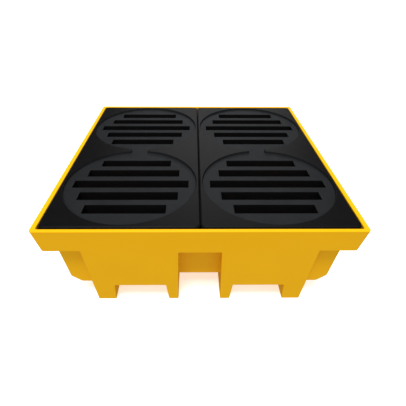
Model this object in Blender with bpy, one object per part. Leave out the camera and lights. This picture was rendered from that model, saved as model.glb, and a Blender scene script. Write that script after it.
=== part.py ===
"""Spill containment pallet: a moulded sump tub, nine support posts and two lift-off deck grates.

Metres, +Z up. The origin is the middle of the footprint, on the floor. X runs across the front,
which has the two fork pockets and faces -Y, and the seam between the grates runs along Y.
"""

import math

import bpy

# ---- Tub, outside -----------------------------------------------------------------------------
TUB_WIDTH = 1.300  # along X, over the rim
TUB_DEPTH = 1.300  # along Y, over the rim
TUB_HEIGHT = 0.468  # floor to the top of the rim
FACE_LEAN = 0.109  # how far the outer faces come in for each metre that they go down
RIM_WIDTH = 0.021
RIM_CORNER_RADIUS = 0.015
RIM_EDGE_CHAMFER = 0.003
SKIRT_HEIGHT = 0.1155
WALL = 0.008
TANK_SIDE_INSET = 0.058  # rim edge to the tank's side wall, at the foot of the skirt
TANK_END_INSET = 0.048  # rim edge to the tank's front and rear walls, at the foot of the skirt
TANK_LEAN = 0.070  # how far the tank's walls come in for each metre that they go down
TANK_CORNER_RADIUS = 0.010
TANK_CHAMFER = 0.035
PANEL_MARGIN = 0.169  # tub side to the edge of the front panel, at the foot of the skirt
PANEL_DRAFT = 0.025
POCKET_HEIGHT = 0.111
POCKET_DRAFT = 0.085
OUTER_FOOT_WIDTH = 0.082
CENTRE_FOOT_WIDTH = 0.044
NOTCH_HALF_WIDTH = 0.098  # at the floor
NOTCH_DRAFT = 0.030
NOTCH_DROP = 0.0105  # foot of the skirt to the top of the notch
NOTCH_DEPTH = 0.073
MOULD_STEP = 0.001  # small step where one moulded face stops short of another

# ---- Tub, inside ------------------------------------------------------------------------------
LEDGE_WIDTH = 0.020
LEDGE_THICKNESS = 0.020
WELL_CORNER_RADIUS = 0.008
SOCKET_HEIGHT = 0.012
SOCKET_WALL = 0.006
SOCKET_CLEARANCE = 0.0008

# ---- Support posts ----------------------------------------------------------------------------
POST_BASE_RADIUS = 0.060
POST_WAIST_RADIUS = 0.040
POST_CAP_RADIUS = 0.055
POST_FLANGE = 0.010
POST_SHOULDER = 0.014
POST_WALL = 0.006

# ---- Deck grates ------------------------------------------------------------------------------
GRATE_THICKNESS = 0.080
GRATE_PROUD = 0.001  # how far the deck stands above the rim
SIDE_CLEARANCE = 0.0025  # grate to the well wall beside it
END_CLEARANCE = 0.005  # grate to the well walls at its two ends
SEAM_GAP = 0.002
GRATE_CORNER_RADIUS = 0.020
GRATE_EDGE_RADIUS = 0.007
PLATE = 0.008
RIB = 0.008
RECESS_DEPTH = 0.012
RECESS_MARGIN = 0.009  # recess edge to the nearest edge of the grate
RECESS_GAP = 0.013  # between the two recesses of a grate
RECESS_DRAFT = 0.003
BRIDGE_WIDTH = 0.086
SLOT_WIDTH = 0.0577
SLOT_PITCH = 0.0938
SLOT_END_MARGIN = 0.039  # recess edge to the end of the longest slot
SLOT_STEP = 0.092  # how much shorter each slot is than its neighbour nearer the middle
SLOT_WALL = 0.006  # of the short duct that hangs below each slot
SLOT_WALL_MARGIN = 0.012  # least material between a slot's corner and the recess wall
SIDE_RIB_OFFSET = 0.017  # end of the longest slot to the outer lengthwise rib

SEAT_GAP = 0.0003  # between pieces that rest on each other
OVERRUN = 0.020  # how far a cutter runs past what it cuts
ARC_STEPS = 4
RECESS_SIDES = 48
POST_SIDES = 20

# ---- Heights and places that follow from the sizes above ---------------------------------------
SKIRT_FOOT_Z = TUB_HEIGHT - SKIRT_HEIGHT
SEAT_Z = TUB_HEIGHT + GRATE_PROUD - GRATE_THICKNESS
TANK_FLOOR_Z = POCKET_HEIGHT + WALL
NOTCH_TOP_Z = SKIRT_FOOT_Z - NOTCH_DROP
WELL_HALF_X = TUB_WIDTH / 2 - RIM_WIDTH
WELL_HALF_Y = TUB_DEPTH / 2 - RIM_WIDTH
GRATE_WIDTH = WELL_HALF_X - SIDE_CLEARANCE - SEAM_GAP / 2
GRATE_LENGTH = 2 * (WELL_HALF_Y - END_CLEARANCE)
GRATE_CENTRE_X = SEAM_GAP / 2 + GRATE_WIDTH / 2
RECESS_RADIUS = min(GRATE_WIDTH / 2, GRATE_LENGTH / 4) - RECESS_MARGIN
RECESS_CENTRE_Y = RECESS_RADIUS + RECESS_GAP / 2
RECESS_FLOOR = GRATE_THICKNESS - RECESS_DEPTH
RIB_HEIGHT = RECESS_FLOOR - PLATE
SLOTS_EACH_SIDE = int((RECESS_RADIUS - SLOT_END_MARGIN - SLOT_WIDTH / 2) / SLOT_PITCH)


def lean_in(half, z):
    """Half size at height z of an outer face that is `half` from the middle at the rim."""
    return half - FACE_LEAN * (TUB_HEIGHT - RIM_EDGE_CHAMFER - z)


def panel_half(z):
    """Half width of the front panel, which narrows from the skirt down to its feet."""
    return TUB_WIDTH / 2 - PANEL_MARGIN - PANEL_DRAFT * (SKIRT_FOOT_Z - z)


def notch_half(z):
    """Half width of the centre notch, which narrows upwards."""
    return NOTCH_HALF_WIDTH - NOTCH_DRAFT * z


def pocket_sides(z):
    """Inner and outer X of the right-hand fork pocket at height z."""
    inner = NOTCH_HALF_WIDTH + CENTRE_FOOT_WIDTH + POCKET_DRAFT * z
    outer = panel_half(0) - OUTER_FOOT_WIDTH - POCKET_DRAFT * z
    return inner, outer


POST_COLUMN_X = sum(pocket_sides(POCKET_HEIGHT)) / 2


# ---- Small modelling tools ----------------------------------------------------------------------
def clear_scene():
    for obj in list(bpy.data.objects):
        bpy.data.objects.remove(obj, do_unlink=True)


def plastic(name, colour, roughness):
    """A moulded plastic: its colour as linear RGB."""
    material = bpy.data.materials.new(name)
    material.use_nodes = True
    shader = material.node_tree.nodes["Principled BSDF"]
    shader.inputs["Base Color"].default_value = (*colour, 1.0)
    shader.inputs["Roughness"].default_value = roughness
    shader.inputs["Metallic"].default_value = 0.0
    return material


def mesh_object(name, points, faces):
    mesh = bpy.data.meshes.new(name)
    mesh.from_pydata(points, [], faces)
    mesh.update()
    obj = bpy.data.objects.new(name, mesh)
    bpy.context.scene.collection.objects.link(obj)
    return obj


def rectangle(x0, x1, y0, y1):
    return [(x0, y0), (x1, y0), (x1, y1), (x0, y1)]


def rounded(half_x, half_y, radius):
    """A rectangle about the middle with round corners, anticlockwise."""
    outline = []
    for quarter, (sx, sy) in enumerate([(1, 1), (-1, 1), (-1, -1), (1, -1)]):
        centre_x = sx * (half_x - radius)
        centre_y = sy * (half_y - radius)
        for step in range(ARC_STEPS + 1):
            angle = math.radians(90) * (quarter + step / ARC_STEPS)
            outline.append((centre_x + radius * math.cos(angle), centre_y + radius * math.sin(angle)))
    return outline


def circle(x, y, radius, sides):
    angles = [2 * math.pi * side / sides for side in range(sides)]
    return [(x + radius * math.cos(angle), y + radius * math.sin(angle)) for angle in angles]


def loft(name, rings):
    """A closed solid through outlines of equal count, each given as (outline, z), going up."""
    count = len(rings[0][0])
    points = [(x, y, z) for outline, z in rings for x, y in outline]
    faces = [tuple(range(count - 1, -1, -1))]
    for ring in range(len(rings) - 1):
        low = ring * count
        for side in range(count):
            after = (side + 1) % count
            faces.append((low + side, low + after, low + count + after, low + count + side))
    top = (len(rings) - 1) * count
    faces.append(tuple(range(top, top + count)))
    return mesh_object(name, points, faces)


def block(name, x0, x1, y0, y1, z0, z1):
    outline = rectangle(x0, x1, y0, y1)
    return loft(name, [(outline, z0), (outline, z1)])


def turned(name, profile, sides):
    """A solid of revolution about Z. The profile, (radius, z), starts and ends on the axis."""
    points = [(0, 0, profile[0][1])]
    for radius, z in profile[1:-1]:
        points += [(x, y, z) for x, y in circle(0, 0, radius, sides)]
    points.append((0, 0, profile[-1][1]))
    last = len(points) - 1
    faces = []
    for side in range(sides):
        after = (side + 1) % sides
        faces.append((0, 1 + after, 1 + side))
        for ring in range(len(profile) - 3):
            low = 1 + ring * sides
            faces.append((low + side, low + after, low + sides + after, low + sides + side))
        top = last - sides
        faces.append((top + side, top + after, last))
    return mesh_object(name, points, faces)


def combine(target, operation, tools):
    """Join, cut or intersect the target with each tool in turn, and remove the tools."""
    for tool in tools:
        modifier = target.modifiers.new("combine", "BOOLEAN")
        modifier.operation = operation
        modifier.solver = "EXACT"
        modifier.object = tool
        graph = bpy.context.evaluated_depsgraph_get()
        result = bpy.data.meshes.new_from_object(target.evaluated_get(graph))
        target.modifiers.clear()
        target.data = result
        bpy.data.objects.remove(tool, do_unlink=True)
    return target


def finish(obj, material):
    """Give a finished piece its material, with smooth faces and sharp corners."""
    obj.data.name = obj.name
    obj.data.materials.clear()
    obj.data.materials.append(material)
    obj.data.shade_smooth()
    obj.data.set_sharp_from_angle(angle=math.radians(35))


# ---- Tub ------------------------------------------------------------------------------------------
def leaning(inset, radius, z):
    """The tub's outline at height z, moved in by `inset`."""
    half_x = lean_in(TUB_WIDTH / 2, z) - inset
    half_y = lean_in(TUB_DEPTH / 2, z) - inset
    return rounded(half_x, half_y, radius), z


def outer_faces():
    """The block inside the four leaning faces and the chamfered rim edge, from below the floor up."""
    face_top = TUB_HEIGHT - RIM_EDGE_CHAMFER
    rim_x = TUB_WIDTH / 2 - RIM_EDGE_CHAMFER
    rim_y = TUB_DEPTH / 2 - RIM_EDGE_CHAMFER
    return loft("outer_faces", [
        leaning(0, RIM_CORNER_RADIUS, -OVERRUN),
        leaning(0, RIM_CORNER_RADIUS, face_top),
        (rounded(rim_x, rim_y, RIM_CORNER_RADIUS), TUB_HEIGHT),
    ])


def tank(name, grow, bottom_z, top_z):
    """The tank's block, moved out by `grow`: leaning walls with a chamfer under the side walls."""
    rings = []
    for z, inset in ((bottom_z, TANK_CHAMFER), (bottom_z + TANK_CHAMFER, 0), (top_z, 0)):
        out = grow - TANK_LEAN * (SKIRT_FOOT_Z - z)
        side = TUB_WIDTH / 2 - TANK_SIDE_INSET + out - inset
        end = TUB_DEPTH / 2 - TANK_END_INSET + out
        rings.append((rounded(side, end, TANK_CORNER_RADIUS), z))
    return loft(name, rings)


def panel(name, grow, bottom_z, top_z):
    """The block behind the front and rear panels, moved out sideways by `grow`."""
    rings = []
    for z in (bottom_z, top_z):
        half = panel_half(z) + grow
        rings.append((rectangle(-half, half, -TUB_DEPTH, TUB_DEPTH), z))
    return loft(name, rings)


def notch(name, side, grow, bottom_z, top_z):
    """The centre notch at the front (side -1) or the rear (side 1), moved out by `grow`."""
    rings = []
    for z in (bottom_z, top_z):
        half = notch_half(z) + grow
        back = side * (lean_in(TUB_DEPTH / 2, z) - NOTCH_DEPTH - grow)
        near, far = sorted((back, side * TUB_DEPTH))
        rings.append((rectangle(-half, half, near, far), z))
    return loft(name, rings)


def through_cutter(name, sides_at, top_z):
    """A passage from front to rear under the tank, between the X values of sides_at(z)."""
    rings = []
    for z in (-OVERRUN, top_z):
        x0, x1 = sides_at(z)
        rings.append((rectangle(x0, x1, -TUB_DEPTH, TUB_DEPTH), z))
    return loft(name, rings)


def runner_hollow(name, sides_at):
    """The trough inside a runner, open to the tank above it."""
    top_z = TANK_FLOOR_Z + MOULD_STEP
    rings = []
    for z in (WALL, top_z):
        x0, x1 = sorted(sides_at(z))
        rings.append((rectangle(x0 + WALL, x1 - WALL, -TUB_DEPTH, TUB_DEPTH), z))
    return loft(name, rings)


def channel_half(z):
    return notch_half(z) + MOULD_STEP


def tub_outside():
    """Rim, skirt, tank, panels and runners as one solid block with the passages cut."""
    body = block("sump_tub", -TUB_WIDTH, TUB_WIDTH, -TUB_DEPTH, TUB_DEPTH, SKIRT_FOOT_Z, TUB_HEIGHT)
    joined_top = SKIRT_FOOT_Z + WALL
    combine(body, "UNION", [
        tank("tank", 0, POCKET_HEIGHT, joined_top),
        panel("panel", 0, 0, joined_top),
    ])
    combine(body, "INTERSECT", [outer_faces()])
    combine(body, "DIFFERENCE", [
        through_cutter("pocket_right", pocket_sides, POCKET_HEIGHT),
        through_cutter("pocket_left", lambda z: [-x for x in reversed(pocket_sides(z))], POCKET_HEIGHT),
        through_cutter("channel", lambda z: (-channel_half(z), channel_half(z)), POCKET_HEIGHT),
        notch("notch_front", -1, 0, POCKET_HEIGHT - MOULD_STEP, NOTCH_TOP_Z),
        notch("notch_rear", 1, 0, POCKET_HEIGHT - MOULD_STEP, NOTCH_TOP_Z),
    ])
    return body


def skirt_gap():
    """The space open from below between the skirt and the tank wall."""
    top_z = SEAT_Z - WALL
    rings = [leaning(WALL, RIM_CORNER_RADIUS, z) for z in (SKIRT_FOOT_Z, top_z)]
    return combine(loft("skirt_gap", rings), "DIFFERENCE", [
        tank("tank_keep", MOULD_STEP, POCKET_HEIGHT, top_z + OVERRUN),
        panel("panel_keep", MOULD_STEP, 0, top_z + OVERRUN),
    ])


def sump_space():
    """The liquid space: tank, the hollow panels and the hollow runners, inside the walls."""
    top_z = SEAT_Z + MOULD_STEP
    space = tank("sump_space", -WALL, TANK_FLOOR_Z, top_z)
    combine(space, "UNION", [panel("panel_space", -WALL, TANK_FLOOR_Z, top_z)])
    foot_inner = NOTCH_HALF_WIDTH + CENTRE_FOOT_WIDTH
    runners = [
        lambda z: (pocket_sides(z)[1], panel_half(z)),
        lambda z: (channel_half(z), foot_inner + POCKET_DRAFT * z),
    ]
    for runner in runners:
        combine(space, "UNION", [
            runner_hollow("runner_right", runner),
            runner_hollow("runner_left", lambda z, runner=runner: [-x for x in runner(z)]),
        ])
    ledge_x = WELL_HALF_X - LEDGE_WIDTH
    ledge_y = WELL_HALF_Y - LEDGE_WIDTH
    rings = [leaning(WALL, WELL_CORNER_RADIUS, z) for z in (-OVERRUN, SKIRT_FOOT_Z - WALL)]
    for z in (SEAT_Z - LEDGE_THICKNESS, top_z + OVERRUN):
        rings.append((rounded(ledge_x, ledge_y, WELL_CORNER_RADIUS), z))
    combine(space, "INTERSECT", [loft("inner_faces", rings)])
    return combine(space, "DIFFERENCE", [
        notch("notch_wall_front", -1, WALL, POCKET_HEIGHT, NOTCH_TOP_Z + WALL),
        notch("notch_wall_rear", 1, WALL, POCKET_HEIGHT, NOTCH_TOP_Z + WALL),
    ])


def post_places():
    """(column, row, x, y) of each support post."""
    columns = (("left", -POST_COLUMN_X), ("centre", 0.0), ("right", POST_COLUMN_X))
    rows = (("front", -RECESS_CENTRE_Y), ("middle", 0.0), ("rear", RECESS_CENTRE_Y))
    return [(column, row, x, y) for column, x in columns for row, y in rows]


def socket(x, y):
    """The low moulded collar that a post's flange stands in."""
    inner = POST_BASE_RADIUS + SOCKET_CLEARANCE
    low = TANK_FLOOR_Z - MOULD_STEP
    high = TANK_FLOOR_Z + SOCKET_HEIGHT
    collar = loft("collar", [(circle(x, y, inner + SOCKET_WALL, POST_SIDES), z) for z in (low, high)])
    bore = [(circle(x, y, inner, POST_SIDES), z) for z in (low - OVERRUN, high + OVERRUN)]
    return combine(collar, "DIFFERENCE", [loft("bore", bore)])


def make_tub(material):
    tub = tub_outside()
    well = [
        (rounded(WELL_HALF_X, WELL_HALF_Y, WELL_CORNER_RADIUS), z)
        for z in (SEAT_Z, TUB_HEIGHT + OVERRUN)
    ]
    combine(tub, "DIFFERENCE", [skirt_gap(), sump_space(), loft("well", well)])
    combine(tub, "UNION", [socket(x, y) for _, _, x, y in post_places()])
    finish(tub, material)
    return tub


# ---- Posts ------------------------------------------------------------------------------------------
def make_posts(material):
    """Waisted hollow posts, open below, from the tank floor to the underside of the grates."""
    height = SEAT_Z - TANK_FLOOR_Z - 2 * SEAT_GAP
    bore = POST_WAIST_RADIUS - POST_WALL
    profile = [
        (0, height - POST_WALL),
        (bore, height - POST_WALL),
        (bore, POST_FLANGE + POST_SHOULDER),
        (POST_BASE_RADIUS - POST_WALL, POST_FLANGE),
        (POST_BASE_RADIUS - POST_WALL, 0),
        (POST_BASE_RADIUS, 0),
        (POST_BASE_RADIUS, POST_FLANGE),
        (POST_WAIST_RADIUS, POST_FLANGE + POST_SHOULDER + POST_WALL),
        (POST_WAIST_RADIUS, height - POST_SHOULDER - POST_WALL),
        (POST_CAP_RADIUS, height - POST_WALL),
        (POST_CAP_RADIUS, height),
        (0, height),
    ]
    pattern = turned("post", profile, POST_SIDES)
    finish(pattern, material)
    for column, row, x, y in post_places():
        post = bpy.data.objects.new(f"support_post_{column}_{row}", pattern.data)
        bpy.context.scene.collection.objects.link(post)
        post.location = (x, y, TANK_FLOOR_Z + SEAT_GAP)
    bpy.data.objects.remove(pattern, do_unlink=True)


# ---- Grates -----------------------------------------------------------------------------------------
def slot_half_length(index):
    """Half length of the slot `index` places from the middle of its recess."""
    stepped = RECESS_RADIUS - SLOT_END_MARGIN - index * SLOT_STEP / 2
    edge = index * SLOT_PITCH + SLOT_WIDTH / 2
    chord = math.sqrt((RECESS_RADIUS - RECESS_DRAFT) ** 2 - edge**2)
    return min(stepped, chord - SLOT_WALL_MARGIN)


def slab(inset, radius):
    return rounded(GRATE_WIDTH / 2 - inset, GRATE_LENGTH / 2 - inset, radius)


def corner_hollows():
    """The deeper hollow under the deck outside the recesses."""
    low = RIB_HEIGHT - MOULD_STEP
    outline = slab(PLATE, GRATE_CORNER_RADIUS - PLATE)
    hollow = loft("corner_hollows", [(outline, low), (outline, GRATE_THICKNESS - PLATE)])
    keep = []
    for y in (-RECESS_CENTRE_Y, RECESS_CENTRE_Y):
        wall = circle(0, y, RECESS_RADIUS + PLATE, RECESS_SIDES)
        keep.append(loft("recess_wall", [(wall, low - OVERRUN), (wall, GRATE_THICKNESS)]))
    half = BRIDGE_WIDTH / 2 + PLATE
    reach = RECESS_CENTRE_Y - RECESS_RADIUS + OVERRUN
    keep.append(block("bridge_wall", -half, half, -reach, reach, low - OVERRUN, GRATE_THICKNESS))
    return combine(hollow, "DIFFERENCE", keep)


def slots():
    """(half length, low Y, high Y) of each slot."""
    found = []
    for centre in (-RECESS_CENTRE_Y, RECESS_CENTRE_Y):
        for index in range(-SLOTS_EACH_SIDE, SLOTS_EACH_SIDE + 1):
            y = centre + index * SLOT_PITCH
            found.append((slot_half_length(abs(index)), y - SLOT_WIDTH / 2, y + SLOT_WIDTH / 2))
    return found


def grate_mesh():
    """One grate about its own middle, with its underside at z = 0."""
    rings = [(slab(0, GRATE_CORNER_RADIUS), 0)]
    for step in range(3):
        angle = math.radians(45 * step)
        inset = GRATE_EDGE_RADIUS * (1 - math.cos(angle))
        z = GRATE_THICKNESS - GRATE_EDGE_RADIUS * (1 - math.sin(angle))
        rings.append((slab(inset, GRATE_CORNER_RADIUS - inset), z))
    grate = loft("grate", rings)

    underside = slab(PLATE, GRATE_CORNER_RADIUS - PLATE)
    combine(grate, "DIFFERENCE", [
        loft("underside", [(underside, -OVERRUN), (underside, RIB_HEIGHT)]),
        corner_hollows(),
    ])

    reach_x = GRATE_WIDTH / 2 - PLATE / 2
    reach_y = GRATE_LENGTH / 2 - PLATE / 2
    rib_top = RIB_HEIGHT + MOULD_STEP
    side_x = slot_half_length(0) + SIDE_RIB_OFFSET
    ribs = [block("middle_rib", -reach_x, reach_x, -RIB / 2, RIB / 2, 0, rib_top)]
    for x in (-side_x, side_x):
        ribs.append(block("length_rib", x - RIB / 2, x + RIB / 2, -reach_y, reach_y, 0, rib_top))
    for half, low, high in slots():
        end = half + SLOT_WALL
        ribs.append(block("duct", -end, end, low - SLOT_WALL, high + SLOT_WALL, 0, rib_top))
    combine(grate, "UNION", ribs)

    cutters = []
    top = GRATE_THICKNESS + OVERRUN
    slope = RECESS_DRAFT / RECESS_DEPTH
    for centre in (-RECESS_CENTRE_Y, RECESS_CENTRE_Y):
        floor_edge = circle(0, centre, RECESS_RADIUS - RECESS_DRAFT, RECESS_SIDES)
        above_edge = circle(0, centre, RECESS_RADIUS + slope * OVERRUN, RECESS_SIDES)
        cutters.append(loft("recess", [(floor_edge, RECESS_FLOOR), (above_edge, top)]))
    bridge = BRIDGE_WIDTH / 2
    reach = RECESS_CENTRE_Y - RECESS_RADIUS + OVERRUN
    cutters.append(block("bridge", -bridge, bridge, -reach, reach, RECESS_FLOOR, top))
    for half, low, high in slots():
        cutters.append(block("slot", -half, half, low, high, -OVERRUN, top))
    return combine(grate, "DIFFERENCE", cutters)


def make_grates(material):
    pattern = grate_mesh()
    finish(pattern, material)
    for name, side in (("grate_left", -1), ("grate_right", 1)):
        grate = bpy.data.objects.new(name, pattern.data)
        bpy.context.scene.collection.objects.link(grate)
        grate.location = (side * GRATE_CENTRE_X, 0, SEAT_Z + SEAT_GAP)
    bpy.data.objects.remove(pattern, do_unlink=True)


clear_scene()
make_tub(plastic("tub_yellow_polyethylene", (0.72, 0.39, 0.003), 0.45))
make_posts(plastic("post_black_polyethylene", (0.012, 0.012, 0.013), 0.6))
make_grates(plastic("grate_black_polyethylene", (0.012, 0.013, 0.015), 0.5))
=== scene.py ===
# %% [markdown]
# # A spill containment pallet, in its looks
#
# The real object is a low square pallet that catches leaks from four drums. A yellow sump tub is
# moulded in one piece, and two black deck grates drop into its rim, side by side. Each grate has
# two round recesses that the drums stand in, and slots that let a leak fall into the sump.
#
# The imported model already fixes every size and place. This file puts the finished surfaces around
# it: soft moulded edges, clean round recesses and the two plastics. All lengths are in metres.

# %% Load the fixed frame and measure it
import math

import bpy
from mathutils import Matrix, Vector


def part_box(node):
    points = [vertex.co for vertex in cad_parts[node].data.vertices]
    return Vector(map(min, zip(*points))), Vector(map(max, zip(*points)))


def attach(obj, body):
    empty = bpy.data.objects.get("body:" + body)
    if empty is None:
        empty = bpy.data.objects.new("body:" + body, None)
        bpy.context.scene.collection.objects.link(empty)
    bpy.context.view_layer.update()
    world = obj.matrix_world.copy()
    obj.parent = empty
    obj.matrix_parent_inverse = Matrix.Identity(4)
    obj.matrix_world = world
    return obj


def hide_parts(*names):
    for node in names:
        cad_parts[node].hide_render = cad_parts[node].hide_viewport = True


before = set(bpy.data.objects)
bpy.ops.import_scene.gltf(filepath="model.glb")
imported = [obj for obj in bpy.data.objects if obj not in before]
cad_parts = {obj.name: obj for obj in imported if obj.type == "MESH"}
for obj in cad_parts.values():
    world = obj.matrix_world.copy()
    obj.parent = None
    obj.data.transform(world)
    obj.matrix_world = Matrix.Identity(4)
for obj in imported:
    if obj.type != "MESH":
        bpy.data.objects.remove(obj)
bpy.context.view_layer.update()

tub_low, tub_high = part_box("sump_tub")
TUB_HALF = tub_high.x
RIM_Z = tub_high.z
print("tub", [round(side, 4) for side in tub_high - tub_low], "rim at", round(RIM_Z, 4))

# %% [markdown]
# ## Working on one piece at a time
#
# Blender's operators act on everything that is selected, and the frame arrives selected. So each
# step starts by deselecting all, then selecting one piece. In edit mode the same holds for
# vertices, edges and faces, so a small helper picks them by where they are. A part of the mesh is
# described by its corner points, which reads like pointing at it: "all corners below the rim".

# %% Helpers for picking and shaping
NEAR = 0.001  # parts of a mesh closer than this to a height or a side count as being there


def alone(piece):
    """Makes this piece the only selected one, and the active one."""
    bpy.ops.object.select_all(action="DESELECT")
    piece.select_set(True)
    bpy.context.view_layer.objects.active = piece


def pick(piece, kind, wanted):
    """Opens the piece in edit mode with the VERT, EDGE or FACE parts selected whose corners pass."""
    alone(piece)
    bpy.ops.object.mode_set(mode="EDIT")
    bpy.ops.mesh.select_mode(type=kind)
    bpy.ops.mesh.select_all(action="DESELECT")
    bpy.ops.object.mode_set(mode="OBJECT")
    mesh = piece.data
    parts = {"VERT": mesh.vertices, "EDGE": mesh.edges, "FACE": mesh.polygons}[kind]
    for part in parts:
        corners = [part.co] if kind == "VERT" else [mesh.vertices[i].co for i in part.vertices]
        part.select = wanted(corners)
    bpy.ops.object.mode_set(mode="EDIT")


def done():
    bpy.ops.object.mode_set(mode="OBJECT")


def settle(piece, name):
    """Names the piece and moves its place, turn and size into its mesh."""
    piece.name = name
    piece.data.name = name
    alone(piece)
    bpy.ops.object.transform_apply(location=True, rotation=True, scale=True)
    return piece


def add_block(name, low, high):
    """A cube primitive, added at its size and place."""
    low, high = Vector(low), Vector(high)
    bpy.ops.object.select_all(action="DESELECT")
    bpy.ops.mesh.primitive_cube_add(size=1, location=(low + high) / 2, scale=high - low)
    return settle(bpy.context.object, name)


def add_drum(name, centre, radius, low_z, high_z, sides):
    """A cylinder primitive, added at its size and place."""
    bpy.ops.object.select_all(action="DESELECT")
    bpy.ops.mesh.primitive_cylinder_add(
        vertices=sides, radius=radius, depth=high_z - low_z,
        location=(centre[0], centre[1], (low_z + high_z) / 2),
    )
    return settle(bpy.context.object, name)


def scale_below(piece, z, x_by, y_by):
    """Scales the piece's vertices below z, about the piece's own middle line."""
    corners = [v.co for v in piece.data.vertices]
    middle_x = (min(c.x for c in corners) + max(c.x for c in corners)) / 2
    middle_y = (min(c.y for c in corners) + max(c.y for c in corners)) / 2
    pick(piece, "VERT", lambda points: points[0].z < z)
    bpy.ops.transform.resize(value=(x_by, y_by, 1), center_override=(middle_x, middle_y, z))
    done()


def carve(piece, operation, tool):
    """Joins, cuts or intersects the piece with a tool, which is then removed."""
    modifier = piece.modifiers.new("carve", "BOOLEAN")
    modifier.operation = operation
    modifier.solver = "EXACT"
    modifier.object = tool
    alone(piece)
    bpy.ops.object.modifier_apply(modifier=modifier.name)
    bpy.data.objects.remove(tool, do_unlink=True)


def clean(piece):
    """Merges doubled points and dissolves the edges that cuts leave across flat faces."""
    pick(piece, "FACE", lambda corners: True)
    bpy.ops.mesh.remove_doubles(threshold=0.00002)
    bpy.ops.mesh.dissolve_limited(angle_limit=math.radians(0.5))
    done()


def soften(piece, width, segments):
    """Rounds every hard edge."""
    modifier = piece.modifiers.new("soft edges", "BEVEL")
    modifier.width = width
    modifier.segments = segments
    modifier.limit_method = "ANGLE"
    modifier.angle_limit = math.radians(30)
    modifier.use_clamp_overlap = False
    modifier.miter_outer = "MITER_ARC"
    alone(piece)
    bpy.ops.object.modifier_apply(modifier=modifier.name)


def flat_faces_first(piece):
    """Smooth shading that follows the large faces, so that roundings don't tint them."""
    alone(piece)
    bpy.ops.object.shade_smooth()
    modifier = piece.modifiers.new("weighted", "WEIGHTED_NORMAL")
    modifier.weight = 100
    modifier.keep_sharp = True
    bpy.ops.object.modifier_apply(modifier=modifier.name)


# %% [markdown]
# ## The tub, outside
#
# A rotationally moulded tub has no sharp edge anywhere, walls of even thickness and faces that
# all lean a little, so that it comes out of its mould. It could be drawn face by face, but its
# shapes run into each other: a skirt hangs all round from the rim, the tank sits inside it, and
# the front panel runs flush with the skirt down to the feet. So it is built as a mould is, from
# plain blocks that are tapered in edit mode and then joined, trimmed by four leaning faces and
# cut. Because skirt and panel are trimmed by one face, they meet with no line between them.

# %% Sizes of the tub
FACE_LEAN = 0.109
SKIRT_HEIGHT = 0.1155
WALL = 0.008
RIM_WIDTH = 0.021
FRONT_RIM_WIDTH = 0.0175
SKIRT_CORNER_RADIUS = 0.015
TANK_HALF_X = TUB_HALF - 0.058
TANK_HALF_Y = TUB_HALF - 0.048
TANK_LEAN = 0.070
TANK_CORNER_RADIUS = 0.010
TANK_CHAMFER = 0.035
TUB_EDGE_RADIUS = 0.003
WELL_CORNER_RADIUS = 0.008
LEDGE_WIDTH = 0.020
LEDGE_HEIGHT = 0.020
PANEL_HALF_AT_FLOOR = 0.4722
PANEL_DRAFT = 0.025
POCKET_HEIGHT = 0.111
POCKET_DRAFT = 0.085
POCKET_CENTRE_X = 0.2661
POCKET_HALF_AT_FLOOR = 0.1241
NOTCH_HALF_AT_FLOOR = 0.098
NOTCH_DRAFT = 0.030
NOTCH_DEPTH = 0.073
NOTCH_DROP = 0.0105
SKIRT_FOOT_Z = RIM_Z - SKIRT_HEIGHT
NOTCH_TOP_Z = SKIRT_FOOT_Z - NOTCH_DROP
SEAT_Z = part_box("grate_left")[0].z
TANK_FLOOR_Z = POCKET_HEIGHT + WALL
BEYOND = 0.050  # how far a tool reaches past the tub


def face_half(z):
    """Half size of the leaning outer faces at height z."""
    return TUB_HALF - FACE_LEAN * (RIM_Z - z)


def panel_half(z):
    return PANEL_HALF_AT_FLOOR + PANEL_DRAFT * z


print("skirt foot at", round(SKIRT_FOOT_Z, 4), "half size there", round(face_half(SKIRT_FOOT_Z), 4))


# %% Tapered blocks that the tub is made from
def leaning_block(name, inset, low_z, high_z):
    """A block inside the four leaning faces, moved in by inset."""
    half = face_half(high_z) - inset
    block = add_block(name, (-half, -half, low_z), (half, half, high_z))
    by = (face_half(low_z) - inset) / half
    scale_below(block, (low_z + high_z) / 2, by, by)
    return block


def tapered_block(name, centre_x, half_low, half_high, y_half, low_z, high_z):
    """A block along Y whose half width changes from half_low to half_high on the way up."""
    low = (centre_x - half_high, -y_half, low_z)
    high = (centre_x + half_high, y_half, high_z)
    block = add_block(name, low, high)
    scale_below(block, (low_z + high_z) / 2, half_low / half_high, 1)
    return block


def tank_block(name, grow, low_z, high_z):
    """The tank: leaning walls, round upright corners and a chamfer under each side wall."""
    half_x = TANK_HALF_X + TANK_LEAN * (high_z - SKIRT_FOOT_Z) + grow
    half_y = TANK_HALF_Y + TANK_LEAN * (high_z - SKIRT_FOOT_Z) + grow
    block = add_block(name, (-half_x, -half_y, low_z), (half_x, half_y, high_z))
    come_in = TANK_LEAN * (high_z - low_z)
    scale_below(block, (low_z + high_z) / 2, 1 - come_in / half_x, 1 - come_in / half_y)
    foot_x = half_x - come_in

    def runs_along_a_side(corners):
        at_foot = all(c.z < low_z + NEAR for c in corners)
        return at_foot and abs(corners[0].x + corners[1].x) > foot_x

    pick(block, "EDGE", runs_along_a_side)
    bpy.ops.mesh.bevel(offset=TANK_CHAMFER, segments=1)
    done()

    def runs_up_a_corner(corners):
        rises = abs(corners[0].z - corners[1].z) > 0.01
        return rises and all(abs(c.x) > foot_x - TANK_CHAMFER - NEAR for c in corners)

    pick(block, "EDGE", runs_up_a_corner)
    bpy.ops.mesh.bevel(offset=TANK_CORNER_RADIUS, segments=5)
    done()
    return block


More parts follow.
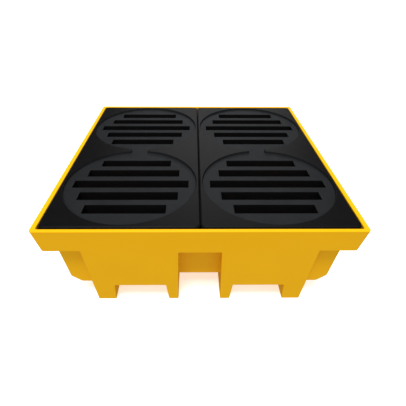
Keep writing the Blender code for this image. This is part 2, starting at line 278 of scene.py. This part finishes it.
def notch_tool(name, grow):
    """Both centre notches and the passage between them, as one cutter with a block left out."""
    low_z, high_z = -BEYOND, NOTCH_TOP_Z + grow
    half_low = NOTCH_HALF_AT_FLOOR - NOTCH_DRAFT * low_z + grow
    half_high = NOTCH_HALF_AT_FLOOR - NOTCH_DRAFT * high_z + grow
    tool = tapered_block(name, 0, half_low, half_high, 2 * TUB_HALF, low_z, high_z)
    kept = leaning_block("kept", NOTCH_DEPTH + grow, POCKET_HEIGHT, high_z + BEYOND)
    carve(tool, "DIFFERENCE", kept)
    return tool


# %% Join, trim and cut the outside
WIDE = 1  # more than half the tub: the leaning faces trim what sticks out
joined_top = SKIRT_FOOT_Z + BEYOND
tub = add_block("sump_tub_moulding", (-WIDE, -WIDE, SKIRT_FOOT_Z), (WIDE, WIDE, RIM_Z))
carve(tub, "DIFFERENCE", leaning_block("under_skirt", WALL, SKIRT_FOOT_Z - BEYOND, SEAT_Z - WALL))
carve(tub, "UNION", tank_block("tank", 0, POCKET_HEIGHT, joined_top))
panel = tapered_block("panel", 0, panel_half(0), panel_half(joined_top), WIDE, 0, joined_top)
carve(tub, "UNION", panel)

faces = leaning_block("outer_faces", 0, -BEYOND, RIM_Z)
pick(faces, "EDGE", lambda corners: abs(corners[0].z - corners[1].z) > 0.1)
bpy.ops.mesh.bevel(offset=SKIRT_CORNER_RADIUS, segments=6)
done()
carve(tub, "INTERSECT", faces)

pocket_low = POCKET_HALF_AT_FLOOR + POCKET_DRAFT * BEYOND
pocket_high = POCKET_HALF_AT_FLOOR - POCKET_DRAFT * POCKET_HEIGHT
for side in (-1, 1):
    middle_x = side * POCKET_CENTRE_X
    pocket = tapered_block("pocket", middle_x, pocket_low, pocket_high, WIDE, -BEYOND, POCKET_HEIGHT)
    carve(tub, "DIFFERENCE", pocket)
carve(tub, "DIFFERENCE", notch_tool("notches", 0))
print("tub outside", len(tub.data.polygons), "faces")

# %% [markdown]
# ## The tub, inside
#
# The wall is even, so the inside is the outside moved in by its thickness. The liquid fills the
# tank, the hollow panel and the four hollow runners that end in the feet. Above it a ledge runs
# round the rim, and the grates sit on that. The same tapered blocks make the hollow, smaller by
# one wall, and one cut takes it out of the tub.

# %% Hollow the tub
LEDGE_HALF = TUB_HALF - RIM_WIDTH - LEDGE_WIDTH
hollow_top = SEAT_Z + BEYOND
hollow = tank_block("hollow", -WALL, TANK_FLOOR_Z, hollow_top)
panel_low = panel_half(TANK_FLOOR_Z) - WALL
panel_high = panel_half(hollow_top) - WALL
behind_panel = tapered_block("behind_panel", 0, panel_low, panel_high, WIDE, TANK_FLOOR_Z, hollow_top)
carve(hollow, "UNION", behind_panel)


def pocket_edge(z, side):
    """X of the right-hand pocket's inner (side -1) or outer (side 1) wall at height z."""
    return POCKET_CENTRE_X + side * (POCKET_HALF_AT_FLOOR - POCKET_DRAFT * z)


def notch_edge(z):
    """X of the centre passage's right-hand wall at height z."""
    return NOTCH_HALF_AT_FLOOR - NOTCH_DRAFT * z


def runner_hollow(side, inner, outer):
    """The trough in a runner, between the X values inner(z) and outer(z), less one wall each."""
    low_z, high_z = WALL, TANK_FLOOR_Z + 0.010
    middle = side * (inner(low_z) + outer(low_z)) / 2
    half_low = (outer(low_z) - inner(low_z)) / 2 - WALL
    block = tapered_block("runner", middle, half_low, half_low, WIDE, low_z, high_z)
    shift = side * (inner(high_z) + outer(high_z)) / 2 - middle
    by = ((outer(high_z) - inner(high_z)) / 2 - WALL) / half_low
    pick(block, "VERT", lambda points: points[0].z > low_z + 0.01)
    bpy.ops.transform.resize(value=(by, 1, 1), center_override=(middle, 0, high_z))
    bpy.ops.transform.translate(value=(shift, 0, 0))
    done()
    return block


for side in (-1, 1):
    carve(hollow, "UNION", runner_hollow(side, lambda z: pocket_edge(z, 1), panel_half))
    carve(hollow, "UNION", runner_hollow(side, notch_edge, lambda z: pocket_edge(z, -1)))

inner_faces = leaning_block("inner_faces", WALL, -BEYOND, SKIRT_FOOT_Z - WALL)
pick(inner_faces, "FACE", lambda corners: all(c.z > 0 for c in corners))
ledge_z = SEAT_Z - LEDGE_HEIGHT
bpy.ops.mesh.extrude_region_move(TRANSFORM_OT_translate={"value": (0, 0, ledge_z - SKIRT_FOOT_Z + WALL)})
by = LEDGE_HALF / (face_half(SKIRT_FOOT_Z - WALL) - WALL)
bpy.ops.transform.resize(value=(by, by, 1), center_override=(0, 0, ledge_z))
bpy.ops.mesh.extrude_region_move(TRANSFORM_OT_translate={"value": (0, 0, hollow_top + BEYOND - ledge_z)})
done()
carve(hollow, "INTERSECT", inner_faces)
carve(hollow, "DIFFERENCE", notch_tool("notch_walls", WALL))
carve(tub, "DIFFERENCE", hollow)

well_half = TUB_HALF - RIM_WIDTH
well_low = (-well_half, FRONT_RIM_WIDTH - TUB_HALF, SEAT_Z)
well = add_block("well", well_low, (well_half, well_half, RIM_Z + BEYOND))
pick(well, "EDGE", lambda corners: abs(corners[0].z - corners[1].z) > 0.05)
bpy.ops.mesh.bevel(offset=WELL_CORNER_RADIUS, segments=5)
done()
carve(tub, "DIFFERENCE", well)
clean(tub)
print("tub hollowed", len(tub.data.polygons), "faces")
soften(tub, TUB_EDGE_RADIUS, 3)
print("tub softened", len(tub.data.polygons), "faces")

# %% Collars on the tank floor that the posts stand in
COLLAR_HEIGHT = 0.012
COLLAR_WALL = 0.006
COLLAR_GAP = 0.0008
COLLAR_EDGE_RADIUS = 0.0015
COLLAR_SINK = 0.003  # how far a collar starts inside the floor, so that the two join
posts = sorted(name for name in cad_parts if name.startswith("support_post"))


def post_place(node):
    """A post's middle, its radius at the foot, and the heights of its foot and its cap."""
    low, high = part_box(node)
    return (low + high) / 2, (high.x - low.x) / 2, low.z, high.z


for node in posts:
    middle, base_radius, foot_z, _ = post_place(node)
    inner = base_radius + COLLAR_GAP
    collar_top = TANK_FLOOR_Z + COLLAR_HEIGHT
    collar = add_drum("collar", middle, inner + COLLAR_WALL, TANK_FLOOR_Z - COLLAR_SINK, collar_top, 48)
    bore = add_drum("bore", middle, inner, TANK_FLOOR_Z - 0.02, TANK_FLOOR_Z + 0.03, 48)
    carve(collar, "DIFFERENCE", bore)
    pick(collar, "EDGE", lambda corners: all(c.z > collar_top - NEAR / 10 for c in corners))
    bpy.ops.mesh.bevel(offset=COLLAR_EDGE_RADIUS, segments=2)
    done()
    carve(tub, "UNION", collar)

flat_faces_first(tub)
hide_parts("sump_tub")
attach(tub, "tub")
print("tub finished", len(tub.data.polygons), "faces")

# %% [markdown]
# ## The support posts
#
# Nine waisted posts carry the grates between the ledges. Each is a turned shape, so one cylinder
# is enough to start from: its top is extruded upwards and scaled at each change of radius.

# %% Model one post and copy it to its places
POST_WAIST = 0.040
POST_CAP = 0.055
POST_FLANGE = 0.010
POST_SHOULDER = 0.020
POST_CAP_HEIGHT = 0.006
POST_EDGE_RADIUS = 0.002


def add_post(node):
    """One post: foot flange, waist and cap, in the place that the frame gives."""
    middle, base_radius, foot_z, top_z = post_place(node)
    post = add_drum(f"{node}_moulding", middle, base_radius, foot_z, foot_z + POST_FLANGE, 64)
    steps = [
        (POST_WAIST, foot_z + POST_FLANGE + POST_SHOULDER),
        (POST_WAIST, top_z - POST_SHOULDER),
        (POST_CAP, top_z - POST_CAP_HEIGHT),
        (POST_CAP, top_z),
    ]
    pick(post, "FACE", lambda corners: all(c.z > foot_z + POST_FLANGE - NEAR for c in corners))
    radius, z = base_radius, foot_z + POST_FLANGE
    for next_radius, next_z in steps:
        bpy.ops.mesh.extrude_region_move(TRANSFORM_OT_translate={"value": (0, 0, next_z - z)})
        by = next_radius / radius
        bpy.ops.transform.resize(value=(by, by, 1), center_override=(middle.x, middle.y, next_z))
        radius, z = next_radius, next_z
    done()
    soften(post, POST_EDGE_RADIUS, 3)
    flat_faces_first(post)
    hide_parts(node)
    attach(post, "tub")
    return post


post_pieces = [add_post(node) for node in posts]
print(len(post_pieces), "posts")

# %% [markdown]
# ## The deck grates
#
# Each grate is a black moulding: a flat deck with rounded outer edges, two round recesses that
# almost fill its width, and a short channel between them. Five straight slots cross each recess,
# the longest through its middle. Below each slot hangs a short duct, and ribs stiffen the rest.
# A block is shaped first, then cylinders and blocks cut what the mould would leave open.

# %% Sizes of a grate, from the frame
grate_low, grate_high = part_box("grate_left")
GRATE_MIDDLE = (grate_low + grate_high) / 2
GRATE_HALF_X = (grate_high.x - grate_low.x) / 2
GRATE_HALF_Y = (grate_high.y - grate_low.y) / 2
DECK_Z = grate_high.z
RECESS_RADIUS = 0.3015
RECESS_CENTRE_Y = 0.3095
RECESS_DEPTH = 0.012
RECESS_DRAFT = 0.003
RECESS_EDGE_RADIUS = 0.002
RECESS_FOOT_RADIUS = 0.0015
RECESS_FLOOR_Z = DECK_Z - RECESS_DEPTH
GRATE_CORNER_RADIUS = 0.020
DECK_EDGE_RADIUS = 0.007
PLATE = 0.008
RIB = 0.008
SIDE_RIB_OFFSET = 0.017
BRIDGE_HALF = 0.043
SLOT_HALF_WIDTH = 0.02885
SLOT_PITCH = 0.0938
LONGEST_SLOT_HALF = 0.264
SLOT_STEP = 0.046
DUCT_WALL = 0.006
PAST = 0.020  # how far a tool reaches past the grate


def slot_half_length(index):
    """Half length of the slot that is index places from the middle of its recess."""
    return LONGEST_SLOT_HALF - abs(index) * SLOT_STEP


slots = [
    (slot_half_length(index), side * RECESS_CENTRE_Y + index * SLOT_PITCH)
    for side in (-1, 1)
    for index in (-2, -1, 0, 1, 2)
]
lengths = [round(2 * slot_half_length(index), 3) for index in (0, 1, 2)]
print("recess radius", round(RECESS_RADIUS, 4), "slot lengths", lengths)

# %% Shape the left grate
grate = add_block("grate_left_moulding", grate_low, grate_high)
pick(grate, "EDGE", lambda corners: abs(corners[0].z - corners[1].z) > 0.01)
bpy.ops.mesh.bevel(offset=GRATE_CORNER_RADIUS, segments=8)
done()
pick(grate, "EDGE", lambda corners: all(c.z > DECK_Z - NEAR for c in corners))
bpy.ops.mesh.bevel(offset=DECK_EDGE_RADIUS, segments=5)
done()

rib_top = RECESS_FLOOR_Z - PLATE
inner_low = Vector((grate_low.x + PLATE, grate_low.y + PLATE, 0))
inner_high = Vector((grate_high.x - PLATE, grate_high.y - PLATE, rib_top))
carve(grate, "DIFFERENCE", add_block("underside", inner_low, inner_high))
reach = RECESS_CENTRE_Y - RECESS_RADIUS + PAST
deep = add_block("deep", (*inner_low.xy, rib_top - NEAR), (*inner_high.xy, DECK_Z - PLATE))
for side in (-1, 1):
    wall = add_drum("wall", (GRATE_MIDDLE.x, side * RECESS_CENTRE_Y), RECESS_RADIUS + PLATE, 0, 1, 96)
    carve(deep, "DIFFERENCE", wall)
bridge_wall = BRIDGE_HALF + PLATE
wall_low = (GRATE_MIDDLE.x - bridge_wall, -reach, 0)
wall_high = (GRATE_MIDDLE.x + bridge_wall, reach, 1)
carve(deep, "DIFFERENCE", add_block("bridge_wall", wall_low, wall_high))
carve(grate, "DIFFERENCE", deep)

skin = PLATE / 2
ribs = [((grate_low.x + skin, -RIB / 2), (grate_high.x - skin, RIB / 2))]
for rib_x in (-LONGEST_SLOT_HALF - SIDE_RIB_OFFSET, LONGEST_SLOT_HALF + SIDE_RIB_OFFSET):
    middle_x = GRATE_MIDDLE.x + rib_x
    ribs.append(((middle_x - RIB / 2, grate_low.y + skin), (middle_x + RIB / 2, grate_high.y - skin)))
for half, y in slots:
    duct_x = half + DUCT_WALL
    duct_y = SLOT_HALF_WIDTH + DUCT_WALL
    ribs.append(((GRATE_MIDDLE.x - duct_x, y - duct_y), (GRATE_MIDDLE.x + duct_x, y + duct_y)))
for low, high in ribs:
    carve(grate, "UNION", add_block("rib", (*low, grate_low.z), (*high, rib_top + NEAR)))
print("grate with ribs", len(grate.data.polygons), "faces")

# %% Cut the recesses, the channel and the slots
recess = None
for side in (-1, 1):
    centre = (GRATE_MIDDLE.x, side * RECESS_CENTRE_Y)
    drum = add_drum("recess", centre, RECESS_RADIUS, RECESS_FLOOR_Z, DECK_Z + PAST, 160)
    floor_by = 1 - RECESS_DRAFT / RECESS_RADIUS
    scale_below(drum, RECESS_FLOOR_Z + NEAR, floor_by, floor_by)
    if recess:
        carve(recess, "UNION", drum)
    else:
        recess = drum
bridge_low = (GRATE_MIDDLE.x - BRIDGE_HALF, -reach, RECESS_FLOOR_Z)
bridge_high = (GRATE_MIDDLE.x + BRIDGE_HALF, reach, DECK_Z + PAST)
carve(recess, "UNION", add_block("bridge", bridge_low, bridge_high))
clean(recess)
carve(grate, "DIFFERENCE", recess)
for half, y in slots:
    slot_low = (GRATE_MIDDLE.x - half, y - SLOT_HALF_WIDTH, grate_low.z - PAST)
    slot_high = (GRATE_MIDDLE.x + half, y + SLOT_HALF_WIDTH, DECK_Z + PAST)
    carve(grate, "DIFFERENCE", add_block("slot", slot_low, slot_high))
clean(grate)
print("grate cut", len(grate.data.polygons), "faces")


def is_recess_edge(corners):
    """An edge of the deck's openings, and not one of its rounded outer edge."""
    on_deck = all(c.z > DECK_Z - NEAR / 10 for c in corners)
    inside = all(
        abs(c.x - GRATE_MIDDLE.x) < GRATE_HALF_X - DECK_EDGE_RADIUS - 0.0005
        and abs(c.y) < GRATE_HALF_Y - DECK_EDGE_RADIUS - 0.0005
        for c in corners
    )
    return on_deck and inside


pick(grate, "EDGE", is_recess_edge)
bpy.ops.mesh.bevel(offset=RECESS_EDGE_RADIUS, segments=3)
done()
pick(grate, "EDGE", lambda corners: all(abs(c.z - RECESS_FLOOR_Z) < NEAR / 10 for c in corners))
bpy.ops.mesh.bevel(offset=RECESS_FOOT_RADIUS, segments=2)
done()
flat_faces_first(grate)
print("grate softened", len(grate.data.polygons), "faces")

# %% Copy it to the right
alone(grate)
bpy.ops.object.duplicate(linked=False)
right_grate = bpy.context.object
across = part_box("grate_right")[0].x - grate_low.x
bpy.ops.transform.translate(value=(across, 0, 0))
settle(right_grate, "grate_right_moulding")
for piece, node in ((grate, "grate_left"), (right_grate, "grate_right")):
    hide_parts(node)
    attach(piece, node.replace("grate_", "") + "_grate")

# %% [markdown]
# ## The plastics
#
# Both mouldings are polyethylene. Moulded polyethylene is waxy: its gloss is soft and broad, its
# skin follows the mould's blasted steel as a fine orange peel, and its large faces are never quite
# flat. Its colour runs right through, so there is no paint to wear. Each pattern below is written
# with its real size in millimetres, and the scale is worked out from that.

# %% Helpers for materials
def linear(code):
    """An sRGB hex colour as linear RGBA."""
    channels = [int(code[i:i + 2], 16) / 255 for i in (1, 3, 5)]
    return [c / 12.92 if c <= 0.04045 else ((c + 0.055) / 1.055) ** 2.4 for c in channels] + [1.0]


def per_mm(size):
    """The texture scale that repeats about every size millimetres."""
    return 1000 / size


def add_node(tree, kind, inputs, **settings):
    """Adds a node. Settings are its own; inputs are values, or sockets that it is linked to."""
    node = tree.nodes.new(kind)
    for name, value in settings.items():
        setattr(node, name, value)
    for name, value in inputs.items():
        if isinstance(value, bpy.types.NodeSocket):
            tree.links.new(value, node.inputs[name])
        else:
            node.inputs[name].default_value = value
    return node


def new_plastic(name, roughness, gloss):
    """A material with its tree, its shader and Object coordinates."""
    material = bpy.data.materials.new(name)
    material.use_nodes = True
    tree = material.node_tree
    shader = tree.nodes["Principled BSDF"]
    shader.inputs["IOR"].default_value = 1.53
    shader.inputs["Specular IOR Level"].default_value = gloss
    shader.inputs["Roughness"].default_value = roughness
    place = add_node(tree, "ShaderNodeTexCoord", {}).outputs["Object"]
    return material, tree, shader, place


# %% Rotationally moulded yellow polyethylene
def yellow_polyethylene():
    """The tub's plastic: an even warm yellow with a soft sheen."""
    material, tree, shader, place = new_plastic("rotomoulded_yellow_polyethylene", 0.42, 0.1)
    # The yellow drifts a little over a hand's width, so a large face never looks printed.
    drift = add_node(tree, "ShaderNodeTexNoise", {"Vector": place, "Scale": per_mm(160), "Detail": 3.0})
    colour = add_node(tree, "ShaderNodeMix", {"Factor": drift.outputs["Fac"]}, data_type="RGBA")
    colour.inputs["A"].default_value = linear("#F2B300")
    colour.inputs["B"].default_value = linear("#F7B902")
    tree.links.new(colour.outputs["Result"], shader.inputs["Base Color"])
    # Shrinkage leaves the faces gently uneven, which bends the highlights.
    wave = add_node(tree, "ShaderNodeTexNoise", {"Vector": place, "Scale": per_mm(120), "Detail": 1.0})
    # The blasted mould leaves an orange peel that breaks the gloss up when seen close.
    peel = add_node(tree, "ShaderNodeTexNoise", {"Vector": place, "Scale": per_mm(4), "Detail": 2.0})
    broad = add_node(tree, "ShaderNodeBump", {
        "Strength": 0.25, "Distance": 0.004, "Height": wave.outputs["Fac"],
    })
    fine = add_node(tree, "ShaderNodeBump", {
        "Strength": 0.25, "Distance": 0.0004,
        "Height": peel.outputs["Fac"], "Normal": broad.outputs["Normal"],
    })
    tree.links.new(fine.outputs["Normal"], shader.inputs["Normal"])
    return material


# %% Moulded black polyethylene, smooth and grained
def black_polyethylene(name, colour_low, colour_high, roughness, gloss, grain_mm, grain_height):
    """A black plastic: the deck's smooth one, the recess floors' grained one or the posts'."""
    material, tree, shader, place = new_plastic(name, roughness, gloss)
    # Where the black was fed unevenly it is a shade greyer, in patches a few centimetres wide.
    drift = add_node(tree, "ShaderNodeTexNoise", {"Vector": place, "Scale": per_mm(70), "Detail": 4.0})
    colour = add_node(tree, "ShaderNodeMix", {"Factor": drift.outputs["Fac"]}, data_type="RGBA")
    colour.inputs["A"].default_value = linear(colour_low)
    colour.inputs["B"].default_value = linear(colour_high)
    tree.links.new(colour.outputs["Result"], shader.inputs["Base Color"])
    # The grain scatters light, so that a grained floor looks paler and flatter than smooth black.
    grain = add_node(tree, "ShaderNodeTexNoise", {"Vector": place, "Scale": per_mm(grain_mm), "Detail": 3.0})
    bump = add_node(tree, "ShaderNodeBump", {
        "Strength": 0.5, "Distance": grain_height, "Height": grain.outputs["Fac"],
    })
    tree.links.new(bump.outputs["Normal"], shader.inputs["Normal"])
    return material


yellow = yellow_polyethylene()
deck_black = black_polyethylene("moulded_black_polyethylene", "#0D0D0E", "#131315", 0.45, 0.1, 3, 0.0003)
grained_black = black_polyethylene("grained_black_polyethylene", "#1A1C1D", "#232527", 0.6, 0.12, 5, 0.0012)
post_black = black_polyethylene("post_black_polyethylene", "#17181A", "#1C1D20", 0.5, 0.4, 3, 0.0003)

# %% Put the plastics on
EDGE_BAND = 0.0025  # the part of a recess wall, from the deck down, that stays smooth

tub.data.materials.clear()
tub.data.materials.append(yellow)
for post in post_pieces:
    post.data.materials.clear()
    post.data.materials.append(post_black)
for piece in (grate, right_grate):
    piece.data.materials.clear()
    piece.data.materials.append(deck_black)
    piece.data.materials.append(grained_black)
    for face in piece.data.polygons:
        in_recess = RECESS_FLOOR_Z - NEAR / 2 < face.center.z < DECK_Z - EDGE_BAND
        outer_wall = abs(face.center.y) > GRATE_HALF_Y - DECK_EDGE_RADIUS
        face.material_index = 1 if in_recess and not outer_wall else 0

# %% [markdown]
# ## Floor, light and camera
#
# A product like this is shown on a plain white ground in even light. A broad overhead light makes
# the upward faces the brightest, a large softbox behind draws a faint sheen over the deck, and a
# white surround fills the rest.
#
# A white floor and a white surround would also be mirrored in the black deck and turn it grey.
# So both are left out of reflections, and the floor is left out of bounced light, which would
# brighten the lower half of the tub. Instead the floor glows a little, so that it still looks white.

# %% Floor and lights
bpy.ops.object.select_all(action="DESELECT")
bpy.ops.mesh.primitive_plane_add(size=30, location=(0, 0, 0))
floor = bpy.context.object
floor.name = "studio_floor"
floor_material = bpy.data.materials.new("white_studio_floor")
floor_material.use_nodes = True
floor_shader = floor_material.node_tree.nodes["Principled BSDF"]
floor_shader.inputs["Base Color"].default_value = linear("#F8F8F8")
floor_shader.inputs["Roughness"].default_value = 0.9
floor_shader.inputs["Emission Color"].default_value = (1, 1, 1, 1)
floor_shader.inputs["Emission Strength"].default_value = 0.5
floor.visible_diffuse = False
floor.visible_glossy = False
floor.data.materials.append(floor_material)

world = bpy.data.worlds.new("white_surround")
bpy.context.scene.world = world
world.use_nodes = True
world.node_tree.nodes["Background"].inputs["Color"].default_value = (1, 1, 1, 1)
world.node_tree.nodes["Background"].inputs["Strength"].default_value = 0.7
world.cycles_visibility.glossy = False


def add_softbox(name, place, target, size, power):
    """A square area light at place that shines at target."""
    light = bpy.data.lights.new(name, "AREA")
    light.shape = "SQUARE"
    light.size = size
    light.energy = power
    lamp = bpy.data.objects.new(name, light)
    bpy.context.scene.collection.objects.link(lamp)
    lamp.location = place
    lamp.rotation_euler = (Vector(target) - Vector(place)).to_track_quat("-Z", "Y").to_euler()


add_softbox("rear_softbox", place=(0.3, 3.2, 2.6), target=(0, 0, 0.25), size=2.6, power=30)
SUN_DIRECTION = Vector((0.08, 0.30, -0.95))
sun_data = bpy.data.lights.new("overhead_light", "SUN")
sun_data.energy = 2.4
sun_data.angle = math.radians(20)
sun = bpy.data.objects.new("overhead_light", sun_data)
bpy.context.scene.collection.objects.link(sun)
sun.rotation_euler = SUN_DIRECTION.to_track_quat("-Z", "Y").to_euler()

# %% Camera
# It stands in front of the pallet and looks down at it. Its axes are worked out one after another:
# the way it faces, then its right and its down, and those two are rolled about the first.
CAMERA_PLACE = Vector((-0.0280, -1.5625, RIM_Z + 0.8240))
PITCH = math.radians(36.450)
YAW = math.radians(-0.690)
ROLL = math.radians(-0.369)
turn = Matrix.Rotation(YAW, 3, "Z")
forward = turn @ Vector((0, math.cos(PITCH), -math.sin(PITCH)))
right = turn @ Vector((1, 0, 0))
down = forward.cross(right)
rolled_right = math.cos(ROLL) * right + math.sin(ROLL) * down
rolled_down = -math.sin(ROLL) * right + math.cos(ROLL) * down
camera_data = bpy.data.cameras.new("camera")
camera_data.lens = 28.87
camera_data.sensor_width = 36
camera_data.shift_x = 0.0163
camera_data.shift_y = -0.0079
camera = bpy.data.objects.new("camera", camera_data)
bpy.context.scene.collection.objects.link(camera)
axes = Matrix((rolled_right, -rolled_down, -forward)).transposed()
camera.matrix_world = Matrix.Translation(CAMERA_PLACE) @ axes.to_4x4()
bpy.context.scene.camera = camera
bpy.context.scene.view_settings.view_transform = "Standard"
